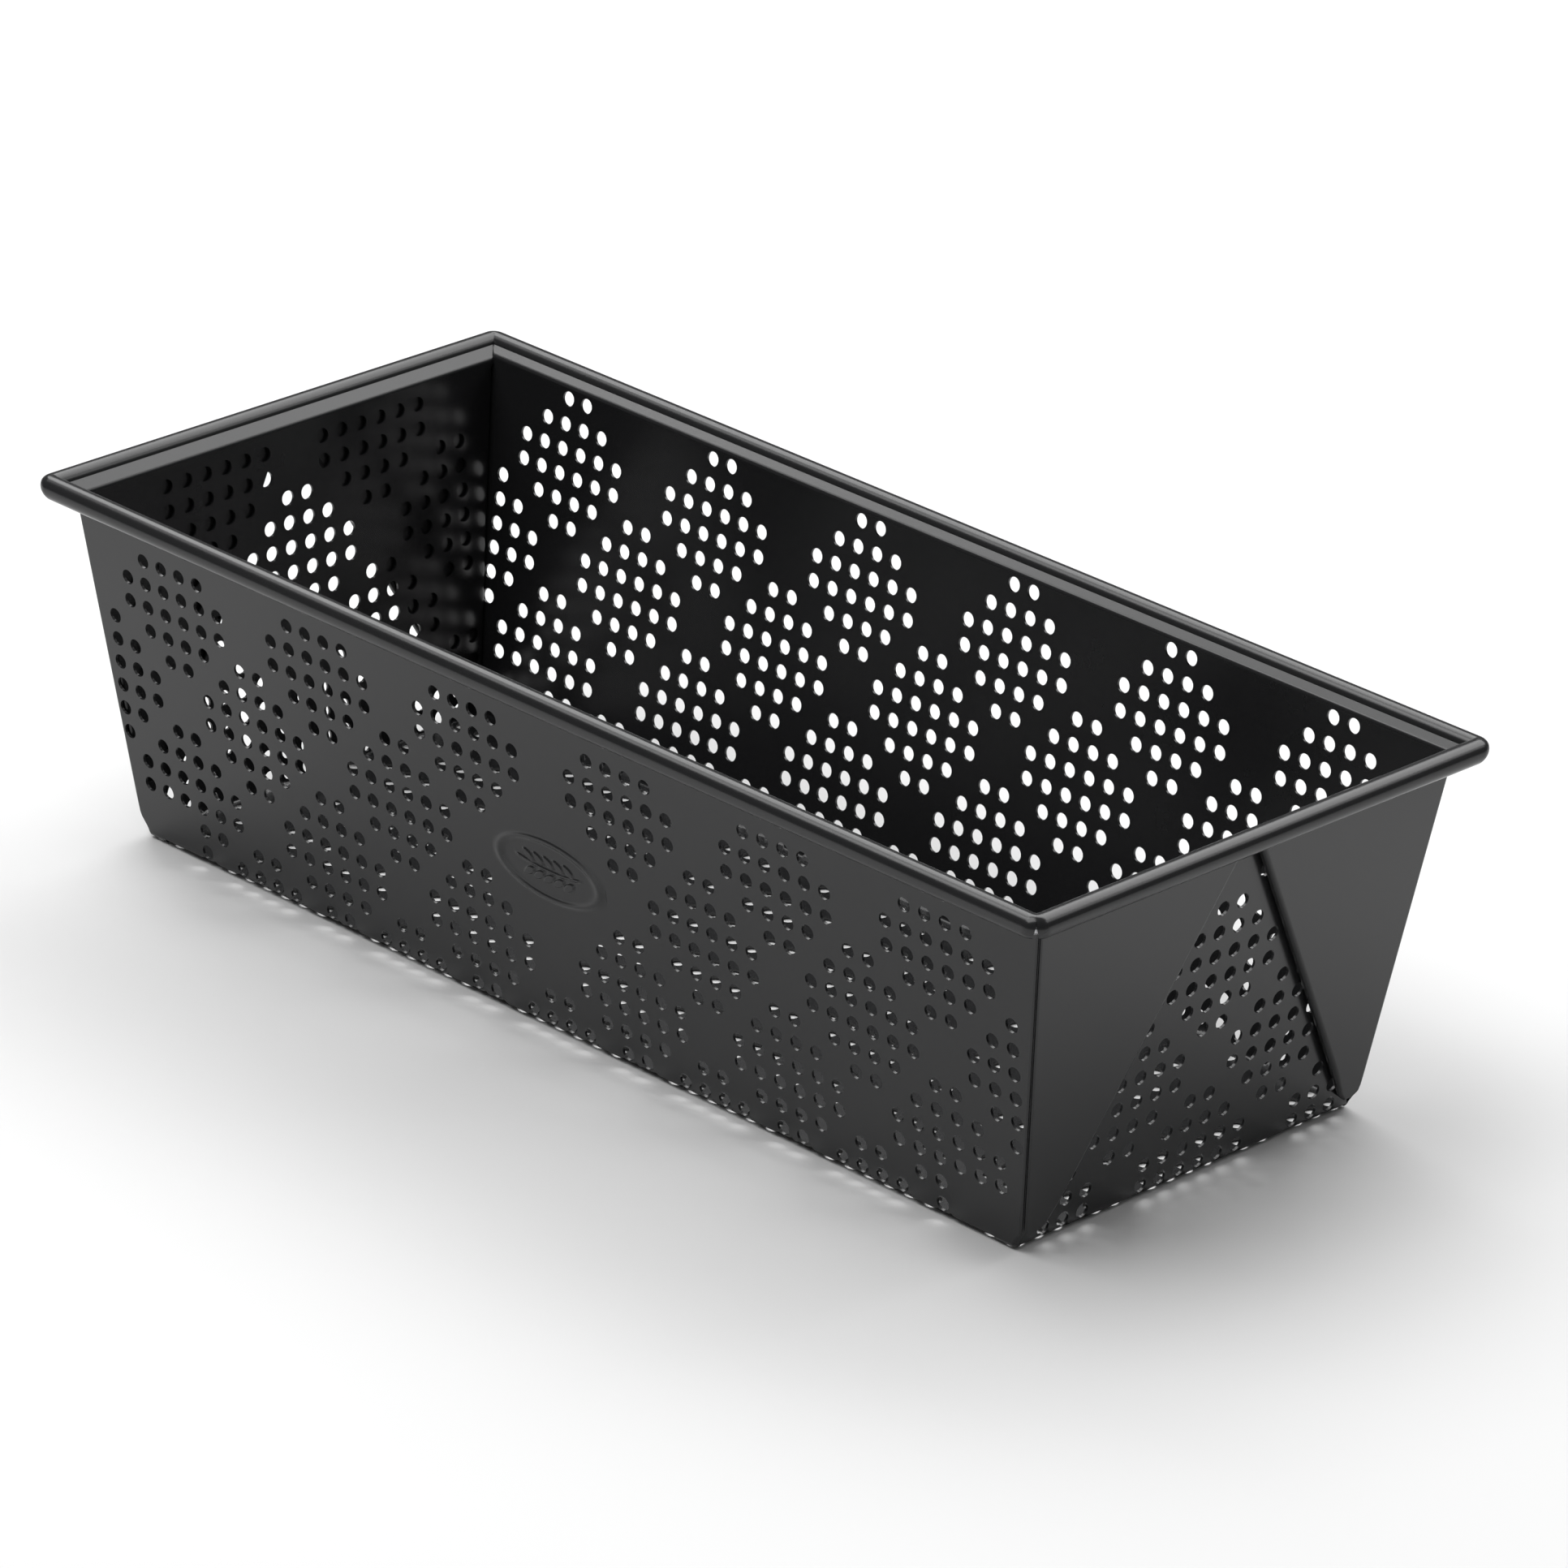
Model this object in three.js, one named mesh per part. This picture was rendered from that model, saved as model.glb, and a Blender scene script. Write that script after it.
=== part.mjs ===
// Folded loaf pan. One sheet-steel blank is folded up into a base, four flared walls and four double
// corner ears, and its top edges are rolled outwards round a wire.
// Millimetres, +Z up, +X along the pan. The origin is the middle of the underside of the base.
import * as THREE from 'three';
import { mergeVertices } from 'three/addons/utils/BufferGeometryUtils.js';

// ---------------------------------------------------------------- driving dimensions
const sheet = 0.5;                    // thickness of the coated steel sheet
const gap = 0.3;                      // clearance between neighbouring panels and between stacked layers
const baseLength = 230.4;             // between the bottom folds of the two end walls, outside
const baseWidth = 87.8;               // between the bottom folds of the two long walls, outside
const sideFlare = 7.9;                // degrees that a long wall leans outwards
const endFlare = 7.5;                 // degrees that an end wall leans outwards
const foldRadius = 1.2;               // outside radius of the bottom folds
const cornerRadius = 1.0;             // outside radius of the upright corner folds
const rimHeight = 71.6;               // base underside to the middle of the rim roll
const sideBend = 0.6;                 // below that, a long wall bends outwards into the rim
const endBend = 1.2;                  // below that, an end wall bends outwards into the rim
const rimRadius = 2.3;                // outside radius of the rolled rim
const wireTurn = 0.4;                 // the wire turns each corner on its own radius plus this
const sideRimOffset = 3.75;           // middle of the rim roll outside a long wall's outer face
const endRimOffset = 4.1;             // middle of the rim roll outside an end wall's outer face
const earShare = 0.5;                 // an ear is the corner of the blank folded along its bisector
const earInset = 2.5;                 // its diagonal starts this far inside the pan's bottom corner

// ---------------------------------------------------------------- derived sizes
const radians = Math.PI / 180;
const arcStep = 15 * radians;
const layer = sheet + gap;
const rollStart = 155 * radians;      // where the roll leaves the shelf, measured from outwards over the top
const rollEnd = -140 * radians;       // the raw edge, tucked under the roll
const rollMiddle = rimRadius - sheet / 2;
const wireRadius = rimRadius - sheet - gap;           // the rim wire fills the roll
const rimCornerRadius = wireRadius + wireTurn;        // radius of the rim's centre line round each corner
const earBottom = foldRadius + 2.3;   // the ears start just above the bottom folds
const earTop = rimHeight - rimRadius - gap;           // and end just under the roll

// Angle of an ear's diagonal fold from upright, seen on the end wall: the blank's corner is folded in
// half, and the wall's own edge already leans outwards.
const cornerAngle = Math.PI / 2 - (sideFlare + endFlare) * radians;
const diagonal = cornerAngle * earShare - sideFlare * radians;

// A side of the pan in section: distance outwards from the middle of the pan, and height.
function wallSide(halfBase, flare, bendDrop, rimOffset) {
  const lean = flare * radians;
  const bendHeight = rimHeight - bendDrop;
  const rimOut = halfBase + bendHeight * Math.tan(lean) + rimOffset;
  return { halfBase, lean, bendHeight, rimOut };
}

const longSide = wallSide(baseWidth / 2, sideFlare, sideBend, sideRimOffset);
const endSide = wallSide(baseLength / 2, endFlare, endBend, endRimOffset);

// Where the flat of the base ends and a side's bottom fold starts.
function foldStart(side) {
  return side.halfBase - foldRadius * Math.tan((Math.PI / 2 - side.lean) / 2);
}

// Outer face of a side's wall at a height, measured outwards from the middle of the pan.
function outerFace(side, z) {
  return side.halfBase + z * Math.tan(side.lean);
}

// Middle of the sheet of a side's wall at a height.
function middleFace(side, z) {
  return outerFace(side, z) - sheet / 2 / Math.cos(side.lean);
}

// ---------------------------------------------------------------- solids from grids of points
// A closed sheet from a grid of middle points and their normals: two skins half a sheet to each side and
// a rim of edge faces round them. Rows run one way over the sheet and columns the other.
function sheetSolid(points, normals, thickness) {
  const rows = points.length;
  const columns = points[0].length;
  const position = [];
  const index = [];
  for (const sign of [-1, 1]) {
    for (let r = 0; r < rows; r += 1) {
      for (let c = 0; c < columns; c += 1) {
        const p = points[r][c].clone().addScaledVector(normals[r][c], sign * thickness / 2);
        position.push(p.x, p.y, p.z);
      }
    }
  }
  const at = (skin, r, c) => (skin * rows + r) * columns + c;
  const quad = (a, b, c, d) => index.push(a, b, c, a, c, d);
  for (let r = 0; r + 1 < rows; r += 1) {
    for (let c = 0; c + 1 < columns; c += 1) {
      quad(at(1, r, c), at(1, r, c + 1), at(1, r + 1, c + 1), at(1, r + 1, c));
      quad(at(0, r, c), at(0, r + 1, c), at(0, r + 1, c + 1), at(0, r, c + 1));
    }
  }
  for (let c = 0; c + 1 < columns; c += 1) {
    quad(at(0, 0, c), at(0, 0, c + 1), at(1, 0, c + 1), at(1, 0, c));
    quad(at(0, rows - 1, c + 1), at(0, rows - 1, c), at(1, rows - 1, c), at(1, rows - 1, c + 1));
  }
  for (let r = 0; r + 1 < rows; r += 1) {
    quad(at(0, r + 1, 0), at(0, r, 0), at(1, r, 0), at(1, r + 1, 0));
    const last = columns - 1;
    quad(at(0, r, last), at(0, r + 1, last), at(1, r + 1, last), at(1, r, last));
  }
  return facingOut(position, index);
}

// Builds the geometry and turns its faces round if they enclose a negative volume.
function facingOut(position, index) {
  let volume = 0;
  const corner = (i) => new THREE.Vector3().fromArray(position, 3 * i);
  for (let i = 0; i < index.length; i += 3) {
    volume += corner(index[i]).dot(corner(index[i + 1]).cross(corner(index[i + 2]))) / 6;
  }
  if (volume < 0) {
    for (let i = 0; i < index.length; i += 3) {
      [index[i + 1], index[i + 2]] = [index[i + 2], index[i + 1]];
    }
  }
  const geometry = new THREE.BufferGeometry();
  geometry.setAttribute('position', new THREE.Float32BufferAttribute(position, 3));
  geometry.setIndex(index);
  return geometry;
}

// A bar: one closed ring of points at each station, joined along the bar and capped at both ends, or
// joined back to its first station when it runs all the way round.
function barSolid(rings, loops) {
  const position = rings.flat().flatMap((p) => [p.x, p.y, p.z]);
  const count = rings[0].length;
  const index = [];
  const stations = loops ? rings.length : rings.length - 1;
  for (let s = 0; s < stations; s += 1) {
    const next = (s + 1) % rings.length;
    for (let k = 0; k < count; k += 1) {
      const along = (k + 1) % count;
      index.push(s * count + k, s * count + along, next * count + along);
      index.push(s * count + k, next * count + along, next * count + k);
    }
  }
  return { position, index, count };
}

// ---------------------------------------------------------------- walls
// Section of a wall's middle line from the end of its bottom fold to the start of its rim roll, as
// points [outwards, height] with the direction that faces outwards.
function wallSection(side) {
  const bend = Math.PI / 2 - side.lean;
  const centre = [foldStart(side), foldRadius];
  const radius = foldRadius - sheet / 2;
  const section = [];
  const steps = Math.ceil(bend / arcStep);
  for (let i = 0; i <= steps; i += 1) {
    const angle = -Math.PI / 2 + bend * i / steps;
    const normal = [Math.cos(angle), Math.sin(angle)];
    const at = [centre[0] + radius * normal[0], centre[1] + radius * normal[1]];
    section.push({ at, normal, inFold: i < steps });
  }
  const wallNormal = [Math.cos(side.lean), -Math.sin(side.lean)];
  section.push({ at: [middleFace(side, earTop), earTop], normal: wallNormal });
  const crease = shareNormal(wallNormal, shelfNormal(side));
  section.push({ at: [middleFace(side, side.bendHeight), side.bendHeight], normal: crease });
  section.push({ at: rollPoint(side, rollStart + gap / rollMiddle), normal: shelfNormal(side) });
  return section;
}

// The point on the roll's middle line at an angle measured from outwards over the top.
function rollPoint(side, angle) {
  return [side.rimOut + rollMiddle * Math.cos(angle), rimHeight + rollMiddle * Math.sin(angle)];
}

// Outward-facing normal of the shelf that joins the top of the wall to the roll.
function shelfNormal(side) {
  const end = rollPoint(side, rollStart);
  const along = [end[0] - middleFace(side, side.bendHeight), end[1] - side.bendHeight];
  const length = Math.hypot(along[0], along[1]);
  return [along[1] / length, -along[0] / length];
}

// Normal at a crease: along the bisector, and longer, so that both faces keep their thickness.
function shareNormal(a, b) {
  const sum = [a[0] + b[0], a[1] + b[1]];
  const scale = 2 / (sum[0] ** 2 + sum[1] ** 2);
  return [sum[0] * scale, sum[1] * scale];
}

// Inner face of the neighbouring side at a height: its wall, then its shelf above the bend.
function innerFace(side, z) {
  const wall = outerFace(side, z) - sheet / Math.cos(side.lean);
  if (z <= side.bendHeight) {
    return wall;
  }
  const foot = middleFace(side, side.bendHeight);
  const end = rollPoint(side, rollStart);
  const share = (z - side.bendHeight) / (end[1] - side.bendHeight);
  return foot + share * (end[0] - foot) - sheet;
}

// How far out the outside (inset 0) or the inside (inset one sheet) of a side's bottom fold is at a height.
function foldFace(side, z, inset) {
  const radius = foldRadius - inset;
  const drop = Math.min(foldRadius - z, radius);
  return foldStart(side) + Math.sqrt(radius ** 2 - drop ** 2);
}

// Half the length of a long wall at a height: its bottom fold ends flush with the end wall's, then it
// runs past the end wall to where its corner fold starts, and its shelf stops short of the end wall's.
function longWallReach(z, inFold) {
  if (inFold) {
    return foldFace(endSide, z, 0);
  }
  if (z > earTop) {
    return innerFace(endSide, z) - gap;
  }
  return outerFace(endSide, z) + 2 * layer - cornerRadius - gap;
}

// Half the length of an end wall at a height: it fits between the long walls, and its edge stops where it
// turns back into the inner ear leaf.
function endWallReach(z, inFold) {
  if (inFold) {
    return foldFace(longSide, z, sheet) - gap;
  }
  return innerFace(longSide, z) - gap - (layer + sheet) / 2;
}

// A wall across +X or -X (turn 0 or 180) or +Y or -Y (turn 90 or 270).
function wall(side, reach) {
  const section = wallSection(side);
  const place = (at, half) => new THREE.Vector3(at[0], half, at[1]);
  const points = section.map(({ at, inFold }) => {
    const half = reach(at[1], inFold);
    return [place(at, -half), place(at, half)];
  });
  const normals = section.map(({ normal }) => [0, 1].map(() => new THREE.Vector3(normal[0], 0, normal[1])));
  return sheetSolid(points, normals, sheet);
}

// ---------------------------------------------------------------- base
// The flat base ends where the bottom folds start, a gap short of each wall.
function base() {
  const reach = (side) => foldStart(side) - gap;
  const geometry = new THREE.BoxGeometry(2 * reach(endSide), 2 * reach(longSide), sheet);
  return geometry.translate(0, 0, sheet / 2);
}

// ---------------------------------------------------------------- corner ears
// Distance from the middle of the end wall to an ear's diagonal fold at a height.
function diagonalAt(z) {
  return outerFace(longSide, 0) - earInset - z * Math.tan(diagonal);
}

// One layer of the ear at +X, +Y, as rows from bottom to top. "Depth" is the distance of the layer's
// middle outside the end wall's outer face.
function earLayer(depth, columnsAt) {
  const rows = [earBottom, earTop].map(columnsAt);
  const outX = (z) => outerFace(endSide, z) + depth;
  const points = rows.map((row) => row.map((p) => new THREE.Vector3(outX(p.z) + p.out, p.y, p.z)));
  const normals = rows.map((row) => row.map((p) => new THREE.Vector3(Math.cos(p.turn), Math.sin(p.turn), 0)));
  return sheetSolid(points, normals, sheet);
}

// The inner leaf turns back from the end wall's upright edge and lies behind the outer leaf.
function innerLeaf() {
  const turnRadius = layer / 2;
  const depth = gap + sheet / 2;
  const steps = 6;
  return earLayer(depth, (z) => {
    const edge = endWallReach(z, false) + gap / 2;
    const row = [];
    for (let i = 0; i <= steps; i += 1) {
      const turn = Math.PI - Math.PI * i / steps;
      row.push({ z, y: edge + turnRadius * Math.sin(turn), out: turnRadius * (Math.cos(turn) - 1), turn });
    }
    row.push({ z, y: diagonalAt(z) + layer, out: 0, turn: 0 });
    return row;
  });
}

// The outer leaf carries on from the long wall round the upright corner, lies flat and is turned over
// the inner leaf along the diagonal.
function outerLeaf() {
  const middle = cornerRadius - sheet / 2;
  const depth = gap + sheet + gap + sheet / 2;
  const steps = 4;
  return earLayer(depth, (z) => {
    const corner = outerFace(longSide, z) - cornerRadius;
    const row = [];
    for (let i = 0; i <= steps; i += 1) {
      const turn = Math.PI / 2 - Math.PI / 2 * i / steps;
      row.push({ z, y: corner + middle * Math.sin(turn), out: middle * (Math.cos(turn) - 1), turn });
    }
    row.push({ z, y: diagonalAt(z), out: 0, turn: 0 });
    return row;
  });
}

// ---------------------------------------------------------------- rolled rim and its wire
// A curl along one side: a C-shaped section swept from mitre to mitre. The outside of the roll rounds
// the corner and its inside is mitred.
function rimCurl(side, neighbour) {
  const steps = Math.ceil((rollStart - rollEnd) / arcStep);
  const section = [];
  for (const radius of [rimRadius, rimRadius - sheet]) {
    const arc = [];
    for (let i = 0; i <= steps; i += 1) {
      const angle = rollStart + (rollEnd - rollStart) * i / steps;
      arc.push([radius * Math.cos(angle), radius * Math.sin(angle)]);
    }
    section.push(...(radius === rimRadius ? arc : arc.reverse()));
  }
  const stations = cornerStations(side, neighbour);
  const rings = stations.map((station) => section.map(([out, up]) => station(out, rimHeight + up)));
  const { position, index, count } = barSolid(rings, false);
  const half = count / 2;
  for (const [first, flip] of [[0, false], [(rings.length - 1) * count, true]]) {
    for (let k = 0; k + 1 < half; k += 1) {
      const quad = [first + k, first + count - 1 - k, first + count - 2 - k, first + k + 1];
      const order = flip ? [...quad].reverse() : quad;
      index.push(order[0], order[1], order[2], order[0], order[2], order[3]);
    }
  }
  return facingOut(position, index);
}

// Stations along a side at +X: where a section point that lies "out" from the centre line goes. Each end
// turns half of the corner, about an arc that grows with the distance outwards.
function cornerStations(side, neighbour) {
  const turns = [0, 1, 2, 3].map((i) => i * 15 * radians);
  const place = (turn, sign) => (out, z) => {
    const radius = Math.max(rimCornerRadius + out, 0);
    const x = side.rimOut + out - radius * (1 - Math.cos(turn));
    const y = neighbour.rimOut + out - radius * (1 - Math.sin(turn)) - gap * Math.SQRT1_2;
    return new THREE.Vector3(x, sign * y, z);
  };
  return [...turns.slice().reverse().map((turn) => place(turn, -1)), ...turns.map((turn) => place(turn, 1))];
}

// The wire is one ring with a round section.
function rimWire() {
  const sides = 12;
  const rings = [];
  const corners = [[1, 1, 0], [-1, 1, 90], [-1, -1, 180], [1, -1, 270]];
  for (const [sx, sy, start] of corners) {
    for (let i = 0; i <= 4; i += 1) {
      const turn = (start + i * 22.5) * radians;
      const centre = [sx * (endSide.rimOut - rimCornerRadius), sy * (longSide.rimOut - rimCornerRadius)];
      const ring = [];
      for (let k = 0; k < sides; k += 1) {
        const angle = 2 * Math.PI * k / sides;
        const reach = rimCornerRadius + wireRadius * Math.cos(angle);
        const z = rimHeight + wireRadius * Math.sin(angle);
        const x = centre[0] + reach * Math.cos(turn);
        const y = centre[1] + reach * Math.sin(turn);
        ring.push(new THREE.Vector3(x, y, z));
      }
      rings.push(ring);
    }
  }
  const { position, index } = barSolid(rings, true);
  return facingOut(position, index);
}

// ---------------------------------------------------------------- placing the pieces
const coating = { color: 0x2b2c2d, roughness: 0.42, metalness: 0.0 };
const steel = { color: 0x9a9c9e, roughness: 0.35, metalness: 1.0 };
const pan = new THREE.Group();

function add(name, geometry, finish, matrix = new THREE.Matrix4()) {
  const placed = geometry.clone().deleteAttribute('normal');
  placed.deleteAttribute('uv');
  placed.applyMatrix4(matrix);
  const whole = mergeVertices(placed, 1e-4);
  if (matrix.determinant() < 0) {
    const order = whole.getIndex().array;
    for (let i = 0; i < order.length; i += 3) {
      [order[i + 1], order[i + 2]] = [order[i + 2], order[i + 1]];
    }
  }
  const mesh = new THREE.Mesh(whole, new THREE.MeshStandardMaterial(finish));
  mesh.name = name;
  pan.add(mesh);
}

const halfTurn = new THREE.Matrix4().makeRotationZ(Math.PI);
const quarterTurn = new THREE.Matrix4().makeRotationZ(Math.PI / 2);
const threeQuarterTurn = new THREE.Matrix4().makeRotationZ(-Math.PI / 2);

add('base_panel', base(), coating);
add('right_end_wall', wall(endSide, endWallReach), coating);
add('left_end_wall', wall(endSide, endWallReach), coating, halfTurn);
add('back_wall', wall(longSide, longWallReach), coating, quarterTurn);
add('front_wall', wall(longSide, longWallReach), coating, threeQuarterTurn);

add('right_rim_curl', rimCurl(endSide, longSide), coating);
add('left_rim_curl', rimCurl(endSide, longSide), coating, halfTurn);
add('back_rim_curl', rimCurl(longSide, endSide), coating, quarterTurn);
add('front_rim_curl', rimCurl(longSide, endSide), coating, threeQuarterTurn);
add('rim_wire', rimWire(), steel);

const corners = [
  ['back_right', 1, 1],
  ['back_left', -1, 1],
  ['front_left', -1, -1],
  ['front_right', 1, -1],
];
for (const [corner, sx, sy] of corners) {
  const mirror = new THREE.Matrix4().makeScale(sx, sy, 1);
  add(`${corner}_ear_inner_leaf`, innerLeaf(), coating, mirror);
  add(`${corner}_ear_outer_leaf`, outerLeaf(), coating, mirror);
}

export default pan;
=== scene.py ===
"""Loaf pan folded from one perforated, coated steel sheet, with its rim rolled round a wire."""

import math

import bpy
import numpy as np
from mathutils import Matrix, Vector


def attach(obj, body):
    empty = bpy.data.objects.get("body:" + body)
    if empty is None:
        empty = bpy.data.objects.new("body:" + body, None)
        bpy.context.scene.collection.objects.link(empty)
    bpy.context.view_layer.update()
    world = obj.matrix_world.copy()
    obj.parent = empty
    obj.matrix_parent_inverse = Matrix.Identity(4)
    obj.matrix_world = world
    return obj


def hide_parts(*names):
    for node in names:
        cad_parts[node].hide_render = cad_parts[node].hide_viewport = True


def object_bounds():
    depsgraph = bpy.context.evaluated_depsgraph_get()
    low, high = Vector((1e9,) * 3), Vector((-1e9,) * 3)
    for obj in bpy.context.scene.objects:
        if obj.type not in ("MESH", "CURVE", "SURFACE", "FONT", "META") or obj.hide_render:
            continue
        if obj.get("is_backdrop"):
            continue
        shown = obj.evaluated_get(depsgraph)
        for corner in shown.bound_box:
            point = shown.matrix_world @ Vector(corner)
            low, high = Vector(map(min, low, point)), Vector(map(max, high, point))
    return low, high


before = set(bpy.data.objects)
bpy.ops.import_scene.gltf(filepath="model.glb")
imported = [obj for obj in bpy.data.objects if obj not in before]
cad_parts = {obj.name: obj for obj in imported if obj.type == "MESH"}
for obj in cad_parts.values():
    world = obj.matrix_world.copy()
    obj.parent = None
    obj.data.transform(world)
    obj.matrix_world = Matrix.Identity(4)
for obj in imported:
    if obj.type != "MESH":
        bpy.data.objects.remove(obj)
cad_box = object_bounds()

# ------------------------------------------------------------------ sizes in millimetres
SHEET = 0.5                 # steel sheet with its coating
HALF_LENGTH = 115.2         # middle of the pan to the bottom fold of an end wall, outside
HALF_WIDTH = 43.9           # middle of the pan to the bottom fold of a long wall, outside
END_LEAN = math.radians(7.5)
SIDE_LEAN = math.radians(7.9)
FOLD = 1.2                  # outside radius of the bottom folds
CORNER = 1.0                # outside radius of the upright corner folds
RIM_HEIGHT = 71.58          # middle of the rim roll
ROLL = 2.3                  # outside radius of the rim roll
ROLL_MID = ROLL - SHEET / 2
SIDE_RIM = 57.48            # middle of the roll from the middle of the pan
END_RIM = 128.55
SIDE_BEND = 71.0            # height of the bend from wall to rim
END_BEND = 70.4
RIM_CORNER = 1.0            # radius of the roll's centre line round a corner
NOTCH = 0.8                 # half the width of the V notch under the rim's mitres
STACK = 1.6                 # the doubled ear stands this far off the end wall
LEAF_PITCH = 0.8            # middle of one ear leaf to the middle of the next
EAR_TOP = 69.6
HOLE = 1.5                  # hole radius
PITCH = 5.0                 # hole spacing
BASE_PITCH = 4.85           # hole spacing across the base
FRONT_SHIFT = 45.25         # row 0 of the hole pattern lies this far below a wall's foot
BACK_SHIFT = 43.3
END_SHIFT = 115.6


class Side:
    """Section of one wall's middle line: bottom fold, then a straight lean."""

    def __init__(self, half, lean, rim, bend):
        self.half, self.lean, self.rim, self.bend = half, lean, rim, bend
        self.turn = math.pi / 2 - lean
        self.start = half - FOLD * math.tan(self.turn / 2)
        self.mid = FOLD - SHEET / 2
        self.arc_z = FOLD - self.mid * math.sin(lean)
        self.arc_out = self.start + self.mid * math.cos(lean)
        self.arc_q = self.arc_z / math.cos(lean)
        self.foot_q = self.arc_q - self.mid * self.turn
        self.bend_q = bend / math.cos(lean)

    def at(self, q):
        """Point and outward normal at slant height q: an arc from straight down to the wall's lean,
        then a straight line."""
        angle = np.clip((q - self.foot_q) / self.mid, 0, self.turn)
        rest = np.maximum(q - self.arc_q, 0)
        out = self.start + self.mid * np.sin(angle) + rest * math.sin(self.lean)
        up = FOLD - self.mid * np.cos(angle) + rest * math.cos(self.lean)
        return out, up, np.sin(angle), -np.cos(angle)

    def face(self, z):
        """Outer face at height z."""
        return self.half + z * math.tan(self.lean)


LONG = Side(HALF_WIDTH, SIDE_LEAN, SIDE_RIM, SIDE_BEND)
END = Side(HALF_LENGTH, END_LEAN, END_RIM, END_BEND)


def smooth(x, low, high):
    """0 below low, 1 above high, and an even S curve between."""
    t = np.clip((x - low) / (high - low), 0, 1)
    return t * t * (3 - 2 * t)


def corner_form(z):
    """Upright corner at height z: middle radius, and middle plane of the ear leaf that it turns into."""
    radius = (FOLD - SHEET / 2) + (CORNER - FOLD) * smooth(z, 1, 8)
    plane = END.face(z) - SHEET / 2 + STACK * smooth(z, 0.9, 4.6)
    return radius, plane


# ------------------------------------------------------------------ meshes
class Build:
    """Collects quads with a normal for each corner, and welds them into one mesh."""

    def __init__(self):
        self.points, self.normals = [], []

    def faces(self, corners, normals):
        """corners and normals: faces x 4 x 3. Turns round a face that disagrees with its normals."""
        normals = np.broadcast_to(normals, corners.shape)
        spread = np.cross(corners[:, 2] - corners[:, 0], corners[:, 3] - corners[:, 1])
        wrong = ((spread * normals.mean(axis=1)).sum(axis=1) < 0)[:, None, None]
        self.points.append(np.where(wrong, corners[:, ::-1], corners))
        self.normals.append(np.where(wrong, normals[:, ::-1], normals))

    def grid(self, p, n):
        """One skin from a rows x columns grid of points and normals."""
        pick = lambda g: np.stack([g[:-1, :-1], g[:-1, 1:], g[1:, 1:], g[1:, :-1]], axis=2)
        self.faces(pick(p).reshape(-1, 4, 3), pick(n).reshape(-1, 4, 3))

    def sheet(self, p, n, edges=""):
        """Both skins half a sheet each side of a middle grid, and the cut edges named in edges: a and z
        for the first and last row, l and r for the first and last column."""
        n = n / np.linalg.norm(n, axis=-1, keepdims=True)
        h = n * SHEET / 2
        self.grid(p + h, n)
        self.grid(p - h, -n)
        for name, line in (("a", np.s_[0]), ("z", np.s_[-1]), ("l", np.s_[:, 0]), ("r", np.s_[:, -1])):
            if name in edges:
                inward = {"a": p[1], "z": p[-2], "l": p[:, 1], "r": p[:, -2]}[name]
                away = p[line] - inward
                away /= np.linalg.norm(away, axis=-1, keepdims=True) + 1e-12
                self.grid(np.stack([(p - h)[line], (p + h)[line]]), np.stack([away, away]))

    def mesh(self, name):
        """Welds equal points. A quad whose side has shrunk to nothing becomes a triangle."""
        points, normals = np.concatenate(self.points), np.concatenate(self.normals)
        keys = np.round(points.reshape(-1, 3) * 2e4).astype(np.int64)
        _, first, back = np.unique(keys, axis=0, return_index=True, return_inverse=True)
        index = back.reshape(-1, 4)
        keep = index != np.roll(index, -1, axis=1)
        whole = (keep.sum(axis=1) >= 3) & (index[:, 0] != index[:, 2]) & (index[:, 1] != index[:, 3])
        keep &= whole[:, None]
        sizes = keep.sum(axis=1)
        sizes = sizes[sizes > 0]
        length = np.linalg.norm(normals, axis=2, keepdims=True)
        normals = (normals / np.maximum(length, 1e-9))[keep]
        mesh = bpy.data.meshes.new(name)
        mesh.vertices.add(len(first))
        mesh.vertices.foreach_set("co", (points.reshape(-1, 3)[first] / 1000).ravel())
        mesh.loops.add(len(normals))
        mesh.loops.foreach_set("vertex_index", index[keep])
        mesh.polygons.add(len(sizes))
        mesh.polygons.foreach_set("loop_start", np.concatenate([[0], np.cumsum(sizes)[:-1]]))
        mesh.polygons.foreach_set("loop_total", sizes)
        mesh.update(calc_edges=True)
        if mesh.validate(clean_customdata=False):
            raise RuntimeError(name + " has faces that are not sound")
        mesh.shade_smooth()
        mesh.normals_split_custom_set(normals.tolist())
        return mesh


def piece(name, build, material, nodes):
    obj = bpy.data.objects.new(name, build.mesh(name))
    bpy.context.scene.collection.objects.link(obj)
    obj.data.materials.append(material)
    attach(obj, "root")
    if nodes:
        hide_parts(*nodes)
    return obj


# ------------------------------------------------------------------ hole pattern
def in_pattern(u, v, last=9):
    """True where a hole lies: lattice points within 3 steps of the middle of a diamond, the diamonds
    standing at every second multiple of 4 like the dark squares of a chessboard, up to the last row."""
    best = np.full(np.broadcast(u, v).shape, 9.0)
    i, j = np.floor(u / 4), np.floor(v / 4)
    for di in (0, 1):
        for dj in (0, 1):
            ci, cj = i + di, j + dj
            far = np.abs(u - 4 * ci) + np.abs(v - 4 * cj)
            known = ((ci + cj) % 2 == 0) & (np.abs(cj) <= last)
            best = np.minimum(best, np.where(known, far, 9.0))
    return best <= 3.01


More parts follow.
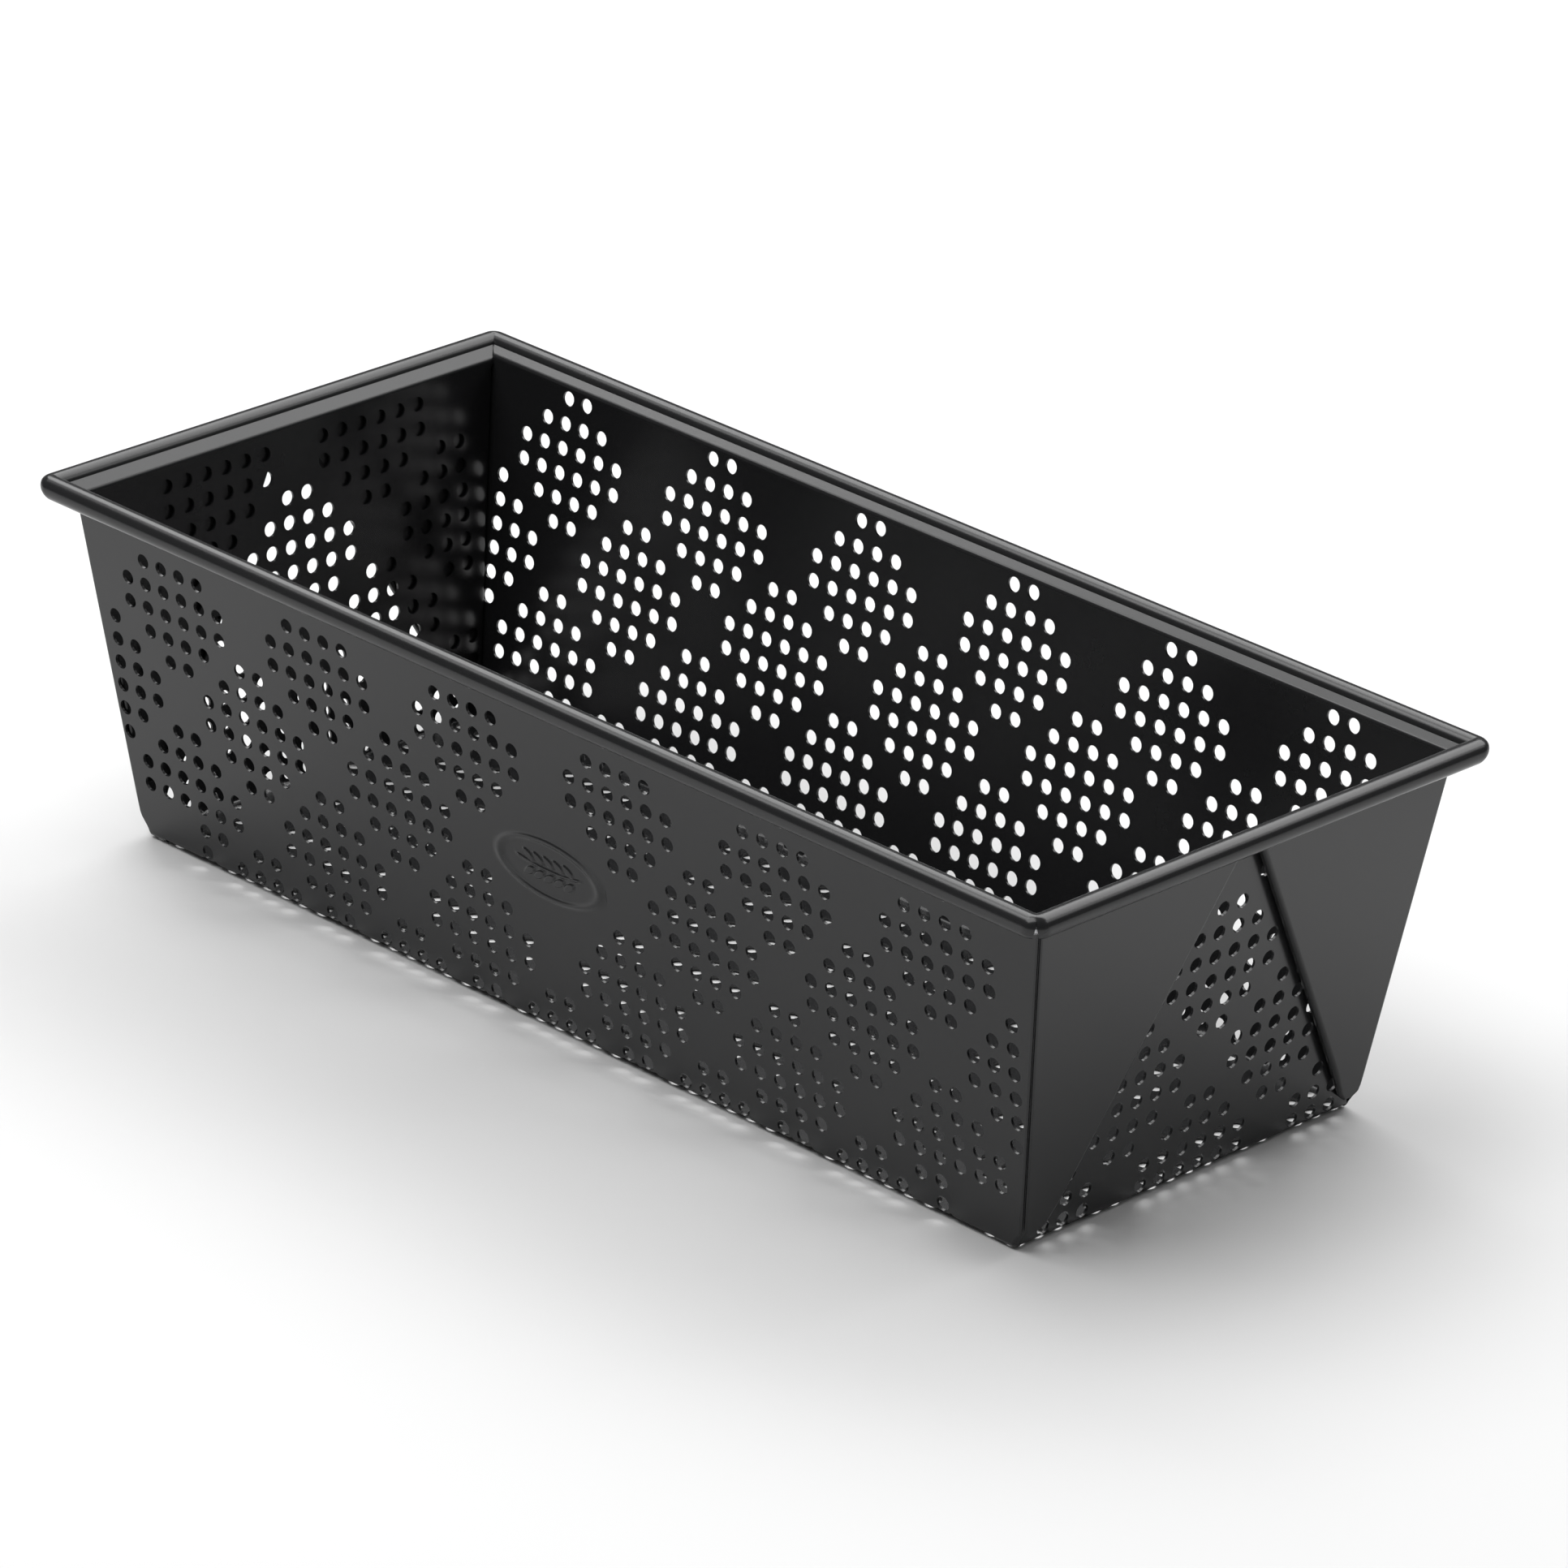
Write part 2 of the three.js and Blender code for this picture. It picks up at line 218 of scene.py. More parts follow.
def cells(build, surface, columns, rows, centres, skip=None):
    """A patch of sheet in cells. columns(r) gives the cell edges along the row edge r; centres holds a
    hole centre for each cell, or nan for a plain one. A plain cell is a 4 x 4 grid. A holed cell joins 16
    points round its outline to 16 points round its hole."""
    low = np.stack([columns(r) for r in rows[:-1]])
    high = np.stack([columns(r) for r in rows[1:]])
    a00, a10, a01, a11 = low[:, :-1], low[:, 1:], high[:, :-1], high[:, 1:]
    b0, b1 = np.broadcast_arrays(rows[:-1, None], a00)[0], np.broadcast_arrays(rows[1:, None], a00)[0]
    holed = ~np.isnan(centres[..., 0])
    skip = np.zeros_like(holed) if skip is None else skip
    # plain cells
    t = np.linspace(0, 1, 5)
    s, w = np.meshgrid(t, t)
    plain = ~holed & ~skip

    def inside(mask, s, w):
        pick = lambda g: g[mask][:, None]
        a = (1 - w) * ((1 - s) * pick(a00) + s * pick(a10)) + w * ((1 - s) * pick(a01) + s * pick(a11))
        return a, (1 - w) * pick(b0) + w * pick(b1)

    a, b = inside(plain, s.ravel(), w.ravel())
    p, n = surface(a, b)
    shape = (-1, 5, 5, 3)
    p, n = p.reshape(shape), n.reshape(shape)
    pick = lambda g: np.stack([g[:, :-1, :-1], g[:, :-1, 1:], g[:, 1:, 1:], g[:, 1:, :-1]], axis=3)
    for sign in (1, -1):
        build.faces(pick(p + sign * n * SHEET / 2).reshape(-1, 4, 3), pick(sign * n).reshape(-1, 4, 3))
    if not holed.any():
        return
    # holed cells
    edge = np.arange(4) / 4
    s = np.concatenate([edge, np.ones(4), 1 - edge, np.zeros(4)])
    w = np.concatenate([np.zeros(4), edge, np.ones(4), 1 - edge])
    a, b = inside(holed, s, w)
    centre = centres[holed]
    angle = math.radians(-135) + np.arange(16) * math.pi / 8
    ca = centre[:, 0:1] + HOLE * np.cos(angle)
    cb = centre[:, 1:2] + HOLE * np.sin(angle)
    p, n = surface(a, b)
    cp, cn = surface(ca, cb)
    mp, _ = surface(centre[:, 0:1], centre[:, 1:2])
    ring = lambda g: np.roll(g, -1, axis=1)
    for sign in (1, -1):
        up, cup = p + sign * n * SHEET / 2, cp + sign * cn * SHEET / 2
        quad = np.stack([up, ring(up), ring(cup), cup], axis=2)
        normal = sign * np.stack([n, ring(n), ring(cn), cn], axis=2)
        build.faces(quad.reshape(-1, 4, 3), normal.reshape(-1, 4, 3))
    inward = mp - cp
    inward /= np.linalg.norm(inward, axis=-1, keepdims=True)
    top, under = cp + cn * SHEET / 2, cp - cn * SHEET / 2
    quad = np.stack([top, ring(top), ring(under), under], axis=2)
    normal = np.stack([inward, ring(inward), ring(inward), inward], axis=2)
    build.faces(quad.reshape(-1, 4, 3), normal.reshape(-1, 4, 3))


def swing(point, normal, quarter):
    """Turns points and normals by quarters of a turn round the upright axis."""
    c, s = round(math.cos(quarter * math.pi / 2)), round(math.sin(quarter * math.pi / 2))
    turn = np.array([[c, s, 0], [-s, c, 0], [0, 0, 1]])
    return point @ turn, normal @ turn


# ------------------------------------------------------------------ walls
def long_surface(quarter):
    """Long wall and the upright corner that it turns round. Up to the corner's centre line the section is
    carried straight along; past it the excess length becomes an angle about that line."""
    def surface(x, q):
        x, q = np.broadcast_arrays(x, q)
        out, up, n_out, n_up = LONG.at(q)
        radius, plane = corner_form(up)
        angle_up = np.clip((q - LONG.foot_q) / LONG.mid, 0, LONG.turn)
        low = up < LONG.arc_z
        radius = np.where(low, LONG.mid * np.sin(angle_up), radius)
        centre = np.where(low, END.start, plane - radius)
        over = np.maximum(np.abs(x) - centre, 0)
        angle = np.clip(over / np.maximum(radius, 1e-6), 0, math.pi / 2)
        px = np.sign(x) * (np.minimum(np.abs(x), centre) + radius * np.sin(angle))
        py = out - radius * (1 - np.cos(angle))
        p = np.stack([py, -px, up], axis=-1)
        n = np.stack([n_out * np.cos(angle), -np.sign(x) * n_out * np.sin(angle), n_up], axis=-1)
        return swing(p, n, quarter)
    return surface


def corner_start(q):
    """Length along a long wall at slant height q to where its upright corner starts."""
    _, up, _, _ = LONG.at(np.asarray(q, float))
    radius, plane = corner_form(up)
    return np.where(up < LONG.arc_z, END.start, plane - radius)


def corner_radius(q):
    _, up, _, _ = LONG.at(np.asarray(q, float))
    radius, _ = corner_form(up)
    angle = np.clip((q - LONG.foot_q) / LONG.mid, 0, LONG.turn)
    return np.where(up < LONG.arc_z, LONG.mid * np.sin(angle), radius)


def crease(angle, up):
    """Sharp line pressed along the upright corner: a bell-shaped groove halfway round the fold, deepest
    under the rim and fading out at the bottom. Returns its slope and depth over the angle."""
    wide = 0.2
    depth = 0.46 * np.exp(-((angle - math.pi / 4) / wide) ** 4) * smooth(up, 2.0, 7.0)
    slope = -4 * (angle - math.pi / 4) ** 3 / wide ** 4 * depth / CORNER
    return slope, depth


def roll_point(side, degrees):
    a = math.radians(degrees)
    return np.array([side.rim + ROLL_MID * math.cos(a), RIM_HEIGHT + ROLL_MID * math.sin(a)])


def shelf(side, first_q):
    """Top of a wall's section, from slant height first_q up to the bend, round a small fillet and out to
    the foot of the roll. Returns points, normals and the share of the way over the shelf."""
    foot = np.array(side.at(np.array(first_q))[:2], float)
    wall = np.array([math.sin(side.lean), math.cos(side.lean)])
    bend = np.array(side.at(np.array(side.bend_q))[:2], float)
    end = roll_point(side, 166)
    out = (end - bend) / np.linalg.norm(end - bend)
    turn = math.acos(float(wall @ out))
    radius = 0.9
    cut = radius * math.tan(turn / 2)
    start_n = np.array([wall[1], -wall[0]])
    points, normals, share = [foot, bend - wall * cut], [start_n, start_n], [0.0, 0.0]
    centre = bend - wall * cut + start_n * radius
    for k in range(1, 7):
        a = turn * k / 6
        n = np.array([start_n[0] * math.cos(a) + start_n[1] * math.sin(a),
                      -start_n[0] * math.sin(a) + start_n[1] * math.cos(a)])
        p = centre - n * radius
        points.append(p)
        normals.append(n)
        share.append(max(0.0, float((p - bend) @ out) / float(np.linalg.norm(end - bend))))
    points.append(end)
    normals.append(normals[-1])
    share.append(1.0)
    return np.array(points), np.array(normals), np.array(share)


def rim_corner(share):
    """Where the shelves of two neighbouring walls meet, from the walls' inner corner to the roll."""
    low = np.array([END.at(np.array(END.bend_q))[0], LONG.at(np.array(LONG.bend_q))[0]])
    high = np.array([roll_point(END, 166)[0], roll_point(LONG, 166)[0]])
    return low + share[:, None] * (high - low)


def mark_height(x, s):
    """Height of the pressed mark: an oval ring with a plain ear of grain in it."""
    x, s = np.broadcast_arrays(x, s)
    oval = np.hypot(x / 13.2, s / 5.9)
    ring = np.exp(-((oval - 1) * 8.0 / 0.7) ** 2)
    stem = np.exp(-((s - 0.012 * x * x) / 0.34) ** 2) * smooth(9.2 - np.abs(x), 0, 1.5)
    grain = np.zeros_like(x)
    for k in range(5):
        for sign in (-1, 1):
            cx, cy = -5.2 + 2.6 * k, sign * 1.65
            dx, dy = x - cx, s - cy
            turn = sign * math.radians(32)
            lx = dx * math.cos(turn) + dy * math.sin(turn)
            ly = -dx * math.sin(turn) + dy * math.cos(turn)
            grain = np.maximum(grain, smooth(1.15 - np.hypot(lx / 1.75, ly / 0.8), 0, 0.5))
    return 0.34 * np.maximum(np.maximum(ring, 0.8 * stem), 0.9 * grain)


def mark_patch(build, surface, q_mid, half_x, half_q):
    """Block of the wall that carries the pressed mark: a fine grid whose outside is raised by the mark's
    height and whose inside sinks by the same, so the sheet keeps its thickness."""
    x, q = np.meshgrid(np.linspace(-half_x, half_x, 151), q_mid + np.linspace(-half_q, half_q, 101))
    step = 0.02
    rise = mark_height(x, q - q_mid)
    dx = (mark_height(x + step, q - q_mid) - mark_height(x - step, q - q_mid)) / (2 * step)
    dq = (mark_height(x, q - q_mid + step) - mark_height(x, q - q_mid - step)) / (2 * step)
    p, n = surface(x, q)
    east = surface(x + step, q)[0] - p
    north = surface(x, q + step)[0] - p
    tilted = n - (dx[..., None] * east + dq[..., None] * north) / step
    p = p + n * rise[..., None]
    tilted = tilted / np.linalg.norm(tilted, axis=-1, keepdims=True)
    build.grid(p + n * SHEET / 2, tilted)
    build.grid(p - n * SHEET / 2, -tilted)


def long_wall(name, quarter, shift, marked, nodes, material):
    build = Build()
    surface = long_surface(quarter)
    rows = np.concatenate([[LONG.foot_q], PITCH * np.arange(10, 24) - shift])
    rows[-1] = min(rows[-1], LONG.bend_q - 0.75)
    v = np.arange(9, 23) + 0.5
    v_q = PITCH * v - shift
    v_q[0] = max(v_q[0], LONG.arc_q + HOLE + 0.07)
    v_q[-1] = rows[-1] - HOLE - 0.12
    u = np.arange(-23, 23) + 0.5

    def pattern(u, v, v_q):
        uu, vv = np.meshgrid(u, v)
        keep = in_pattern(uu, vv, 5) & ~((np.abs(uu) > 20) & (vv < 11))
        keep &= ~((np.abs(uu) < 4) & (np.abs(vv - 16) < 4) & (np.abs(uu) + np.abs(vv - 16) < 3.1) & marked)
        centre = np.stack([PITCH * uu, np.broadcast_to(v_q[:, None], uu.shape)], axis=-1).astype(float)
        centre[~keep] = np.nan
        return centre

    # first rows keep clear of the rounded bottom corner, the others reach one cell further
    regular = PITCH * np.arange(-22, 23)
    columns, levels = np.meshgrid(PITCH * u[1:-1], PITCH * v - shift)
    block = (np.abs(columns) < 15) & (levels > 24.75) & (levels < 44.75) & marked
    cells(build, surface, lambda r: regular, rows, pattern(u[1:-1], v, v_q), block)
    if marked:
        mark_patch(build, surface, 34.75, 15.0, 10.0)
    outer = rows[1:]
    mid_low = np.concatenate([[LONG.foot_q], np.linspace(LONG.foot_q, LONG.arc_q, 7)[1:], [3.0, rows[1]]])
    for sign in (-1, 1):
        column = lambda r: np.sort(sign * np.array([110.0, 115.0]))
        cells(build, surface, column, outer, pattern(np.array([sign * 22.5]), v[1:], v_q[1:]))
        edge = lambda r: np.sort(sign * np.array([115.0, float(corner_start(r))]))
        last = pattern(np.array([sign * 23.5]), v[1:], v_q[1:])
        reach = corner_start(v_q[1:] - HOLE) - HOLE - 0.06
        last[:, 0, 0] = sign * np.minimum(np.abs(last[:, 0, 0]), reach)
        last[np.abs(last[:, 0, 0]) < 115 + HOLE] = np.nan
        last[v[1:] > 20] = np.nan
        cells(build, surface, edge, outer, last)
        fine = np.concatenate([np.linspace(a, b, 5)[:-1] for a, b in zip(rows[:-1], rows[1:])] + [rows[-1:]])
        low = np.unique(np.round(np.concatenate([np.linspace(LONG.foot_q, LONG.arc_q, 9),
                                                 np.linspace(LONG.arc_q, rows[1], 5)]), 6))
        # plain corner cell at the bottom
        q = low[:, None]
        t = np.linspace(0, 1, 7)[None, :]
        x = 110 + t * (corner_start(q) - 110)
        build.sheet(*surface(sign * x, q))
        # the upright corner fold
        for q in (low[:, None], fine[4:, None]):
            angle = np.linspace(0, math.pi / 2, 33)[None, :]
            x = corner_start(q) + corner_radius(q) * angle
            p, n = surface(sign * x, q)
            up = LONG.at(q)[1]
            slope, depth = crease(angle, up)
            skin = p + n * (SHEET / 2 - depth)[..., None]
            along = np.cross(n, [0.0, 0.0, 1.0])
            along *= np.sign((np.roll(p, -1, axis=1)[:, :1] - p[:, :1]) * along[:, :1]).sum(axis=-1)[..., None]
            tilted = n + slope[..., None] * along
            build.grid(skin, tilted / np.linalg.norm(tilted, axis=-1, keepdims=True))
            build.grid(p - n * SHEET / 2, -n)
    # above the holes: the full width as far as the rim, then the shelf between the end walls
    top = np.array([rows[-1], LONG.bend_q - 0.75 + 1e-3])
    points, normals, share = shelf(LONG, rows[-1])
    reach = np.where(np.arange(len(share)) < 2, float(END.at(np.array(END.bend_q))[0]), rim_corner(share)[:, 0])
    t = np.linspace(-1, 1, 81)[None, :]
    p = np.stack([np.broadcast_to(points[:, :1], (len(points), 81)), -reach[:, None] * t,
                  np.broadcast_to(points[:, 1:], (len(points), 81))], axis=-1)
    n = np.broadcast_to(np.stack([normals[:, 0], 0 * share, normals[:, 1]], axis=-1)[:, None, :], p.shape)
    build.sheet(*swing(p, n, quarter), edges="zlr")
    return piece(name, build, material, nodes)


def end_surface(quarter):
    def surface(y, q):
        y, q = np.broadcast_arrays(y, q)
        out, up, n_out, n_up = END.at(q)
        p = np.stack([out, y, up], axis=-1)
        n = np.stack([n_out, 0 * y, n_up], axis=-1)
        return swing(p, n, quarter)
    return surface


def end_reach(q):
    """Half the width of an end wall's flat at slant height q: it fits between the long walls and leaves
    room for the turn into the ear."""
    up = END.at(np.asarray(q, float))[1]
    inner = LONG.face(up) - SHEET / math.cos(SIDE_LEAN)
    return np.where(up < END.arc_z + 1e-6, LONG.start, LONG.start + smooth(up, END.arc_z, 4.0)
                    * (inner - 0.9 - LONG.start))


def end_wall(name, quarter, nodes, material):
    build = Build()
    surface = end_surface(quarter)
    rows = np.concatenate([[END.foot_q], PITCH * np.arange(24, 38) - END_SHIFT])
    rows = rows[rows < END.bend_q - 1.2]
    v = np.arange(len(rows) - 1) + 23.5
    v_q = PITCH * v - END_SHIFT
    v_q[0] = max(v_q[0], END.arc_q + HOLE + 0.07)
    u = np.arange(-8, 8) + 0.5
    uu, vv = np.meshgrid(u, v)
    centre = np.stack([PITCH * uu, np.broadcast_to(v_q[:, None], uu.shape)], axis=-1).astype(float)
    centre[~in_pattern(vv, uu)] = np.nan
    regular = PITCH * np.arange(-8, 9)
    cells(build, surface, lambda r: regular, rows, centre)
    for sign in (-1, 1):
        # side strips: one more column where it fits, then the slanted edge
        strip = lambda r: np.sort(sign * np.array([40.0, float(end_reach(r))]))
        uu = np.full((len(v), 1), 8.5)
        room = end_reach(v_q - HOLE) - HOLE - 0.1
        x = np.minimum(42.5, room)
        c = np.stack([sign * x, v_q], axis=-1)[:, None, :]
        c[~in_pattern(v, 8.5) | (x < 40 + HOLE + 0.1)] = np.nan
        cells(build, surface, strip, rows, c)
        # the sheet turns back on itself into the inner leaf of the ear
        q = np.concatenate([[END.arc_q + 2.5], rows[rows > END.arc_q + 3], [END.bend_q - 0.75]])[:, None]
        angle = np.linspace(0, math.pi, 13)[None, :]
        radius = LEAF_PITCH / 2 * 0.9
        out, up, _, _ = END.at(q + 0 * angle)
        y = sign * (end_reach(q) + radius * np.sin(angle))
        p = np.stack([out + radius * (1 - np.cos(angle)), y, up], axis=-1)
        n = np.stack([np.cos(angle) + 0 * q, -sign * np.sin(angle) + 0 * q, 0 * up], axis=-1)
        build.sheet(*swing(p, n, quarter))
    points, normals, share = shelf(END, rows[-1])
    reach = rim_corner(share)[:, 1]
    reach[0] = end_reach(rows[-1])
    t = np.linspace(-1, 1, 41)[None, :]
    p = np.stack([np.broadcast_to(points[:, :1], (len(points), 41)), reach[:, None] * t,
                  np.broadcast_to(points[:, 1:], (len(points), 41))], axis=-1)
    n = np.broadcast_to(np.stack([normals[:, 0], 0 * share, normals[:, 1]], axis=-1)[:, None, :], p.shape)
    build.sheet(*swing(p, n, quarter), edges="zlr")
    return piece(name, build, material, nodes)


def base(material):
    """Flat base between the four bottom folds, in cells one hole spacing wide."""
    build = Build()

    def surface(x, y):
        x, y = np.broadcast_arrays(x, y)
        return np.stack([x, y, 0 * x + SHEET / 2], axis=-1), np.stack([0 * x, 0 * x, 0 * x - 1], axis=-1)

    columns = np.concatenate([[-END.start], PITCH * np.arange(-22, 23), [END.start]])
    rows = np.concatenate([[-LONG.start], BASE_PITCH * np.arange(-8, 9), [LONG.start]])
    u, v = np.arange(-23, 23) + 0.5, np.arange(-9, 9) + 0.5
    uu, vv = np.meshgrid(u, v)
    centre = np.stack([PITCH * uu, BASE_PITCH * vv], axis=-1)
    centre[~in_pattern(uu, vv)] = np.nan
    cells(build, surface, lambda r: columns, rows, centre)
    return piece("base_panel_sheet", build, material, ["base_panel"])


# ------------------------------------------------------------------ ears
def fold_line(z):
    """Distance of an ear's diagonal fold from the middle of the end wall: a straight line that leans in
    as it rises, with a rounded heel that swings out to the corner at the bottom."""
    straight = 41.4 - 0.566 * z
    heel = smooth(5.0 - z, 0, 4.5) ** 1.2
    return straight + heel * (LONG.face(z) - 1.6 - straight)


def ear(name, sx, sy, nodes, material):
    """Outer leaf from the upright corner fold to the diagonal, round it, and a little way back; then the
    inner leaf from there to the turn at the end wall's edge."""
    z = np.concatenate([np.linspace(2.4, 9, 16), np.linspace(10, EAR_TOP, 24)])[:, None]
    radius, plane = corner_form(z)
    start = LONG.face(z) - SHEET / 2 / math.cos(SIDE_LEAN) - radius
    lift = np.maximum(smooth(z, 0.9, 4.6), 0.3)
    spring = 0.7 * smooth(z, 2.0, 12.0)
    turn = LEAF_PITCH / 2 * lift + spring / 2
    line = fold_line(z)
    t = np.linspace(0, 1, 9)[None, :]
    flat_y = start + t * (line + turn - start)
    flat = np.stack(np.broadcast_arrays(plane + spring * t, flat_y, z), axis=-1)
    lean_n = np.array([math.cos(END_LEAN), 0.0, -math.sin(END_LEAN)])
    flat_n = np.broadcast_to(lean_n, flat.shape)
    a = np.linspace(0, math.pi, 11)[None, 1:]
    bend_x = plane + spring - turn * (1 - np.cos(a))
    bend_p = np.stack(np.broadcast_arrays(bend_x, line + turn - turn * np.sin(a) * 1.15, z), axis=-1)
    bend_n = np.stack(np.broadcast_arrays(np.cos(a), -np.sin(a), lean_n[2] * np.cos(a) - 0.5 * np.sin(a) + 0 * z), axis=-1)
    edge = LONG.face(z) - SHEET / math.cos(SIDE_LEAN) - 0.9
    t = np.linspace(0, 1, 7)[None, 1:]
    back_y = line + turn + t * (edge - line - turn)
    back = np.stack(np.broadcast_arrays(plane + spring - 2 * turn + 0 * t, back_y, z), axis=-1)
    back_n = np.broadcast_to(-lean_n, back.shape)
    outer, inner = Build(), Build()
    mirror = np.array([sx, sy, 1.0])
    outer.sheet(np.concatenate([flat, bend_p], axis=1) * mirror, np.concatenate([flat_n, bend_n], axis=1) * mirror,
                edges="az")
    inner.sheet(np.concatenate([bend_p[:, -1:], back], axis=1) * mirror,
                np.concatenate([bend_n[:, -1:], back_n], axis=1) * mirror, edges="az")
    piece(name + "_ear_outer", outer, material, [nodes + "_ear_outer_leaf"])
    piece(name + "_ear_inner", inner, material, [nodes + "_ear_inner_leaf"])


# ------------------------------------------------------------------ rim
def curl(name, side, other, quarter, nodes, material):
    """Rolled rim: a round section open underneath, carried from mitre to mitre. Round each corner a point
    that lies further out turns on a larger radius."""
    angle = np.radians(np.linspace(172, -150, 54))
    turn = np.radians(np.array([0, 6, 12, 18, 24, 30, 36, 42, 45]))
    length = other.rim
    stations = []
    for sign, order in ((-1, turn[::-1]), (1, turn)):
        for a in order:
            stations.append((sign, a))
    straight = np.linspace(-1, 1, 61)[1:-1]
    d, up = ROLL_MID * np.cos(angle), ROLL_MID * np.sin(angle)
    radius = np.maximum(RIM_CORNER + d, 0)
    rows, rows_n = [], []

    def ring(sign, a):
        out = side.rim + d - radius * (1 - math.cos(a))
        notch = 0.02 + (NOTCH - 0.02) * smooth(-up, -1.6, 1.7)
        along = sign * (other.rim + d - radius * (1 - math.sin(a)) - notch)
        n = np.stack([np.cos(angle) * math.cos(a), sign * np.cos(angle) * math.sin(a), np.sin(angle)], axis=-1)
        return np.stack([out, along, RIM_HEIGHT + up], axis=-1), n

    first = [ring(-1, a) for a in turn[::-1]]
    last = [ring(1, a) for a in turn]
    between = []
    for t in straight:
        p = (first[-1][0] * (1 - t) + last[0][0] * (1 + t)) / 2
        between.append((p, last[0][1]))
    grid = [g for g in first + between + last]
    p = np.stack([g[0] for g in grid])
    n = np.stack([g[1] for g in grid])
    build = Build()
    build.sheet(*swing(p, n, quarter), edges="azlr")
    return piece(name, build, material, nodes)


# ------------------------------------------------------------------ materials
class Val:
    """A socket that can be used in Python arithmetic."""

    def __init__(self, maker, socket):
        self.maker, self.socket = maker, socket

    def _op(self, operation, *others):
        return self.maker.node("ShaderNodeMath", {"operation": operation}, list(others))

    def __add__(self, o): return self._op("ADD", self, o)
    def __radd__(self, o): return self._op("ADD", o, self)
    def __sub__(self, o): return self._op("SUBTRACT", self, o)
    def __rsub__(self, o): return self._op("SUBTRACT", o, self)
    def __mul__(self, o): return self._op("MULTIPLY", self, o)
    def __rmul__(self, o): return self._op("MULTIPLY", o, self)
    def __truediv__(self, o): return self._op("DIVIDE", self, o)
    def clamp(self): return self.maker.node("ShaderNodeClamp", {}, [self, 0.0, 1.0])


class Maker:
    """Builds the nodes of one material."""

    def __init__(self, name):
        self.material = bpy.data.materials.new(name)
        self.material.use_nodes = True
        self.tree = self.material.node_tree
        self.tree.nodes.clear()
        self.place = self.node("ShaderNodeTexCoord", {}, [], "Object")

    def node(self, kind, settings, inputs, output=0):
        made = self.tree.nodes.new(kind)
        for key, value in settings.items():
            if key == "ramp":
                stops = made.color_ramp.elements
                while len(stops) < len(value):
                    stops.new(0.5)
                for stop, (at, colour) in zip(stops, value):
                    stop.position = at
                    stop.color = (*colour, 1.0)
            else:
                setattr(made, key, value)
        pairs = inputs.items() if isinstance(inputs, dict) else enumerate(inputs)
        for key, value in pairs:
            if isinstance(value, Val):
                self.tree.links.new(value.socket, made.inputs[key])
            elif value is not None:
                made.inputs[key].default_value = value
        return Val(self, made.outputs[output])

    def noise(self, scale, detail=3.0, rough=0.5, stretch=None):
        where = self.place
        if stretch:
            where = self.node("ShaderNodeMapping", {}, {"Vector": where, "Scale": stretch})
        return self.node("ShaderNodeTexNoise", {}, {"Vector": where, "Scale": scale, "Detail": detail,
                                                    "Roughness": rough}, "Fac")

    def mix(self, factor, a, b):
        return self.node("ShaderNodeMix", {"data_type": "RGBA"}, {0: factor, 6: (*a, 1.0) if not isinstance(a, Val) else a,
                                                                  7: (*b, 1.0) if not isinstance(b, Val) else b}, 2)

    def finish(self, **sockets):
        names = {"base": "Base Color", "rough": "Roughness", "metal": "Metallic", "normal": "Normal",
                 "spec": "Specular IOR Level", "coat": "Coat Weight", "coat_rough": "Coat Roughness", "ior": "IOR"}
        values = {names[k]: v for k, v in sockets.items()}
        shader = self.node("ShaderNodeBsdfPrincipled", {}, values)
        out = self.tree.nodes.new("ShaderNodeOutputMaterial")
        self.tree.links.new(shader.socket, out.inputs["Surface"])
        return self.material


def coating_material():
    """Satin non-stick coating: near-black, very slightly mottled, with fine orange peel and faint rubbed
    patches where it is smoother."""
    m = Maker("satin_nonstick_coating")
    mottle = m.noise(55.0, 4.0, 0.6)
    rubbed = m.noise(14.0, 5.0, 0.62)
    grain = m.noise(1500.0, 2.0, 0.5)
    colour = m.mix(mottle, (0.0125, 0.0128, 0.0135), (0.0165, 0.0168, 0.0175))
    rough = 0.17 + 0.07 * rubbed + 0.02 * grain
    soft = m.node("ShaderNodeBump", {}, {"Strength": 0.04, "Distance": 0.0002, "Height": m.noise(420.0, 3.0, 0.5)})
    return m.finish(base=colour, rough=rough, normal=soft, spec=0.45)


def wire_material():
    """Drawn steel wire with a fine scratchy noise in its colour, roughness and bump."""
    m = Maker("drawn_steel_wire")
    scratch = m.noise(900.0, 3.0, 0.6)
    colour = m.mix(scratch, (0.42, 0.42, 0.43), (0.56, 0.56, 0.57))
    bump = m.node("ShaderNodeBump", {}, {"Strength": 0.2, "Distance": 0.0001, "Height": scratch})
    return m.finish(base=colour, rough=0.28 + 0.15 * scratch, metal=1.0, normal=bump)


def floor_material():
    m = Maker("pale_studio_floor")
    tone = m.noise(3.0, 2.0)
    return m.finish(base=m.mix(tone, (0.80, 0.80, 0.80), (0.82, 0.82, 0.82)), rough=0.8, spec=0.1)


# ------------------------------------------------------------------ put the pan together
coating = coating_material()
wire_steel = wire_material()
base(coating)
long_wall("front_wall_sheet", 3, FRONT_SHIFT, True, ["front_wall"], coating)
long_wall("back_wall_sheet", 1, BACK_SHIFT, False, ["back_wall"], coating)
end_wall("right_end_wall_sheet", 0, ["right_end_wall"], coating)
end_wall("left_end_wall_sheet", 2, ["left_end_wall"], coating)
for label, sx, sy in (("back_right", 1, 1), ("back_left", -1, 1), ("front_left", -1, -1), ("front_right", 1, -1)):
    ear(label, sx, sy, label, coating)
curl("right_rim", END, LONG, 0, ["right_rim_curl"], coating)
curl("back_rim", LONG, END, 1, ["back_rim_curl"], coating)
curl("left_rim", END, LONG, 2, ["left_rim_curl"], coating)
